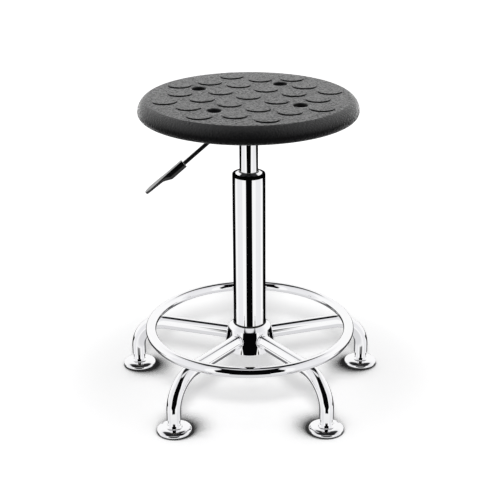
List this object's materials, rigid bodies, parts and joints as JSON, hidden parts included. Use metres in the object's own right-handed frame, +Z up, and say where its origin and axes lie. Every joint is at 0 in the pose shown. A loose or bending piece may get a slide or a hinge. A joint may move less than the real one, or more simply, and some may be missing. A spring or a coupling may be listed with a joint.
{
  "type": "gas-lift stool",
  "caption": "Round black foam seat on a chrome gas-lift column, with a release lever, a welded base of bent tube legs, a foot ring and disc feet.",
  "frame": {"origin": "where the swivel axis meets the floor", "axes": "+Z up along the swivel axis, -Y towards the front gap between two legs, +X to the right"},
  "size_m": [0.4172, 0.3993, 0.4707],
  "materials": {
    "chrome_plate": "mirror-bright chrome plate",
    "seat_foam": "grained moulded skin",
    "plywood": "black-stained plywood",
    "black_steel": "black powder coat",
    "zinc_steel": "zinc plated",
    "bright_steel": "bright drawn steel",
    "black_plastic": "moulded, satin",
    "white_nylon": "natural nylon",
    "black_rubber": "moulded rubber",
    "aluminium": "turned",
    "brass": "turned"
  },
  "bodies": {
    "base": {"base_hub": "chrome_plate", "foot_ring": "chrome_plate", "column_tube": "chrome_plate", "column_end_plate": "black_steel", "guide_bush": "black_plastic", "bearing_lower_race": "bright_steel", "leg_1": "chrome_plate", "leg_2": "chrome_plate", "leg_3": "chrome_plate", "leg_4": "chrome_plate", "leg_5": "chrome_plate", "leg_insert_1": "white_nylon", "leg_insert_2": "white_nylon", "leg_insert_3": "white_nylon", "leg_insert_4": "white_nylon", "leg_insert_5": "white_nylon"},
    "bearing": {"bearing_cage": "white_nylon", "bearing_balls": "bright_steel"},
    "rod": {"piston_rod": "bright_steel", "rod_clip": "zinc_steel", "clip_washer": "zinc_steel", "rod_buffer": "black_rubber", "piston": "aluminium", "piston_seal": "black_rubber", "piston_nut": "bright_steel", "bearing_upper_race": "bright_steel"},
    "seat": {"seat_pad": "seat_foam", "seat_board": "plywood", "seat_bolts": "zinc_steel", "seat_washers": "zinc_steel", "seat_nuts": "zinc_steel", "seat_plate": "black_steel", "taper_socket": "black_steel", "lever_bracket": "black_steel", "lever_pin": "zinc_steel", "gas_cylinder": "chrome_plate", "cylinder_gland": "aluminium", "valve_body": "brass"},
    "lever": {"lever_rod": "black_steel", "lever_handle": "black_plastic"},
    "valve": {"valve_pin": "bright_steel"},
    "foot_1": {"foot_disc_1": "chrome_plate", "foot_pad_1": "black_plastic"},
    "foot_2": {"foot_disc_2": "chrome_plate", "foot_pad_2": "black_plastic"},
    "foot_3": {"foot_disc_3": "chrome_plate", "foot_pad_3": "black_plastic"},
    "foot_4": {"foot_disc_4": "chrome_plate", "foot_pad_4": "black_plastic"},
    "foot_5": {"foot_disc_5": "chrome_plate", "foot_pad_5": "black_plastic"}
  },
  "joints": [
    {"name": "seat_swivel", "type": "hinge", "parent": "base", "child": "rod", "pos_m": [0, 0, 0.07], "axis": [0, 0, 1], "continuous": true},
    {"name": "bearing_turn", "type": "hinge", "parent": "base", "child": "bearing", "pos_m": [0, 0, 0.07], "axis": [0, 0, 1], "continuous": true},
    {"name": "seat_lift", "type": "slide", "parent": "rod", "child": "seat", "axis": [0, 0, 1], "range_m": [-0.025, 0.095]},
    {"name": "lever_pull", "type": "hinge", "parent": "seat", "child": "lever", "pos_m": [-0.02348, -0.00499, 0.4282], "axis": [-0.2079, 0.9781, 0], "range_deg": [0, 7], "stiffness_Nm_per_rad": 3, "springref_deg": -8.59},
    {"name": "valve_press", "type": "slide", "parent": "seat", "child": "valve", "axis": [0, 0, -1], "range_m": [0, 0.0033]},
    {"name": "foot_level_1", "type": "slide", "parent": "base", "child": "foot_1", "axis": [0, 0, 1], "range_m": [-0.006, 0]},
    {"name": "foot_level_2", "type": "slide", "parent": "base", "child": "foot_2", "axis": [0, 0, 1], "range_m": [-0.006, 0]},
    {"name": "foot_level_3", "type": "slide", "parent": "base", "child": "foot_3", "axis": [0, 0, 1], "range_m": [-0.006, 0]},
    {"name": "foot_level_4", "type": "slide", "parent": "base", "child": "foot_4", "axis": [0, 0, 1], "range_m": [-0.006, 0]},
    {"name": "foot_level_5", "type": "slide", "parent": "base", "child": "foot_5", "axis": [0, 0, 1], "range_m": [-0.006, 0]}
  ],
  "couplings": [
    {"joint": "bearing_turn", "follows": "seat_swivel", "ratio": 0.5},
    {"joint": "valve_press", "follows": "lever_pull", "m_per_rad": 0.026}
  ]
}
